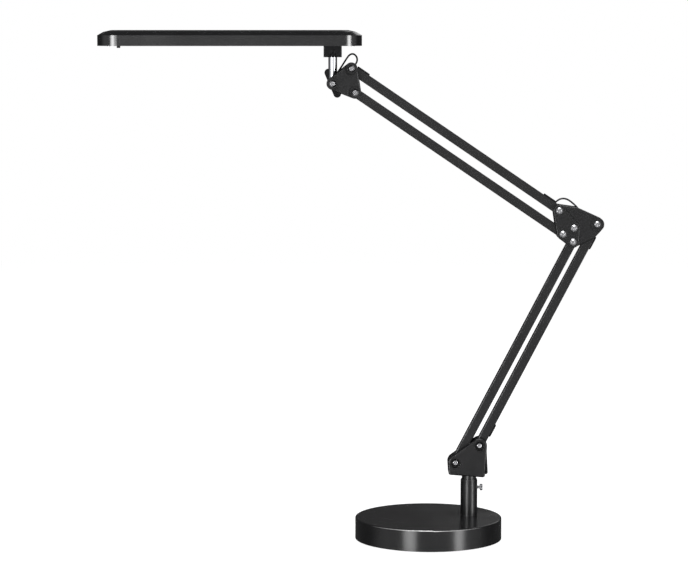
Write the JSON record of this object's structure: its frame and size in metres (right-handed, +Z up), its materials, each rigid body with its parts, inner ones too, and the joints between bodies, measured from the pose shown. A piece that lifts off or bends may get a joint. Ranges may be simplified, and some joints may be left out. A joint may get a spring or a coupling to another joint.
{
  "type": "desk lamp",
  "caption": "Balanced swing-arm desk lamp: round weighted base, two square-tube parallelogram arms on pressed plates and a long slim flat light head that tilts and swivels.",
  "frame": {"origin": "centre of the round base's underside, on the table", "axes": "+X from the base centre towards the post, so the head reaches out over -X; +Y away from the viewer's side, where the screw heads are; +Z up"},
  "size_m": [0.6845, 0.2, 0.6929],
  "materials": {
    "base_paint": "gloss black paint",
    "post_paint": "satin black paint",
    "arm_paint": "satin black anodised and painted",
    "head_paint": "satin black paint",
    "cast_weight": "rough cast",
    "floor_steel": "zinc plated",
    "foot_rubber": "matte",
    "bright_steel": "bright zinc plated",
    "stem_chrome": "polished",
    "dull_zinc": "dull zinc",
    "nylon": "matte",
    "black_plastic": "satin moulded",
    "lead_jacket": "satin",
    "opal": "opal satin",
    "board_white": "white solder mask",
    "chip_yellow": "phosphor",
    "circuit": "solder mask"
  },
  "bodies": {
    "base": {"base_cover": "base_paint", "foot_pad": "foot_rubber", "base_floor": "floor_steel", "base_weight": "cast_weight", "base_screws": "dull_zinc", "post_flange": "floor_steel", "post_tube": "post_paint", "post_bush": "nylon", "power_inlet": "black_plastic", "lead_post_run": "lead_jacket"},
    "thumbscrew": {"thumbscrew": "dull_zinc"},
    "lower_bracket": {"lower_bracket_front_plate": "post_paint", "lower_bracket_rear_plate": "post_paint", "lower_bracket_web": "post_paint", "swivel_stem": "post_paint", "lower_bracket_screws": "bright_steel", "lower_bracket_nuts": "bright_steel", "lead_bracket_loop": "lead_jacket"},
    "lower_link": {"lower_link_tube": "arm_paint", "lower_link_bushes": "nylon", "lower_lead_guides": "black_plastic", "lead_lower_run": "lead_jacket"},
    "lower_arm": {"lower_arm_tube": "arm_paint", "lower_arm_bushes": "nylon"},
    "elbow": {"elbow_front_plate": "post_paint", "elbow_rear_plate": "post_paint", "elbow_front_link_plate": "post_paint", "elbow_rear_link_plate": "post_paint", "elbow_spacer": "bright_steel", "elbow_screws": "bright_steel", "elbow_nuts": "bright_steel"},
    "upper_arm": {"upper_arm_tube": "arm_paint", "upper_arm_bushes": "nylon", "upper_lead_guides": "black_plastic", "lead_upper_run": "lead_jacket", "lead_elbow_loop": "lead_jacket"},
    "upper_link": {"upper_link_tube": "arm_paint", "upper_link_bushes": "nylon"},
    "head_bracket": {"head_bracket_front_plate": "post_paint", "head_bracket_rear_plate": "post_paint", "head_bracket_screws": "bright_steel", "head_bracket_nuts": "bright_steel", "tilt_bolt": "bright_steel", "lead_head_loop": "lead_jacket"},
    "head_stem": {"stem_eye": "bright_steel", "head_stem": "stem_chrome", "stem_clip": "bright_steel"},
    "tilt_knob": {"tilt_knob": "black_plastic"},
    "head": {"head_shell": "head_paint", "head_bezel": "head_paint", "head_block": "black_plastic", "diffuser": "opal", "reflector_frame": "opal", "led_board": "board_white", "led_chips": "chip_yellow", "heat_spreader": "board_white", "button_board": "circuit", "led_driver": "black_plastic", "head_screws": "bright_steel"},
    "power_button": {"power_button": "black_plastic"}
  },
  "joints": [
    {"name": "thumbscrew_turn", "type": "hinge", "parent": "base", "child": "thumbscrew", "pos_m": [0.0725, 0.012, 0.0687], "axis": [1, 0, 0], "range_deg": [-180, 180]},
    {"name": "arm_swivel", "type": "hinge", "parent": "base", "child": "lower_bracket", "pos_m": [0.056, 0.012, 0.087], "axis": [0, 0, 1], "range_deg": [-170, 170]},
    {"name": "lower_arm_swing", "type": "hinge", "parent": "lower_bracket", "child": "lower_link", "pos_m": [0.06972, 0.012, 0.12766], "axis": [0, 1, 0], "range_deg": [-65, 8], "deforming": ["lead_bracket_loop"]},
    {"name": "lower_arm_follow", "type": "hinge", "parent": "lower_bracket", "child": "lower_arm", "pos_m": [0.0369, 0.012, 0.1041], "axis": [0, 1, 0], "range_deg": [-65, 8]},
    {"name": "elbow_level", "type": "hinge", "parent": "lower_link", "child": "elbow", "pos_m": [0.22776, 0.012, 0.43061], "axis": [0, 1, 0], "range_deg": [-8, 65], "deforming": ["lead_elbow_loop"]},
    {"name": "upper_arm_swing", "type": "hinge", "parent": "elbow", "child": "upper_arm", "pos_m": [0.17599, 0.012, 0.4497], "axis": [0, 1, 0], "range_deg": [-60, 20]},
    {"name": "upper_link_follow", "type": "hinge", "parent": "elbow", "child": "upper_link", "pos_m": [0.18094, 0.012, 0.41778], "axis": [0, 1, 0], "range_deg": [-60, 20]},
    {"name": "head_bracket_level", "type": "hinge", "parent": "upper_arm", "child": "head_bracket", "pos_m": [-0.10546, 0.012, 0.64098], "axis": [0, 1, 0], "range_deg": [-20, 60]},
    {"name": "head_tilt", "type": "hinge", "parent": "head_bracket", "child": "head_stem", "pos_m": [-0.13064, 0.012, 0.62102], "axis": [0, 1, 0], "range_deg": [-80, 15], "deforming": ["lead_head_loop"]},
    {"name": "tilt_knob_turn", "type": "hinge", "parent": "head_bracket", "child": "tilt_knob", "pos_m": [-0.13064, 0.012, 0.62102], "axis": [0, 1, 0], "range_deg": [-180, 180]},
    {"name": "head_swivel", "type": "hinge", "parent": "head_stem", "child": "head", "pos_m": [-0.13064, 0.012, 0.67187], "axis": [0, 0, 1], "range_deg": [-170, 170]},
    {"name": "power_button_press", "type": "slide", "parent": "head", "child": "power_button", "axis": [0, 0, 1], "range_m": [0, 0.0012], "stiffness_N_per_m": 1500, "springref_m": -0.0005}
  ],
  "couplings": [
    {"joint": "lower_arm_follow", "follows": "lower_arm_swing", "ratio": 1},
    {"joint": "elbow_level", "follows": "lower_arm_swing", "ratio": -1},
    {"joint": "upper_link_follow", "follows": "upper_arm_swing", "ratio": 1},
    {"joint": "head_bracket_level", "follows": "upper_arm_swing", "ratio": -1}
  ]
}
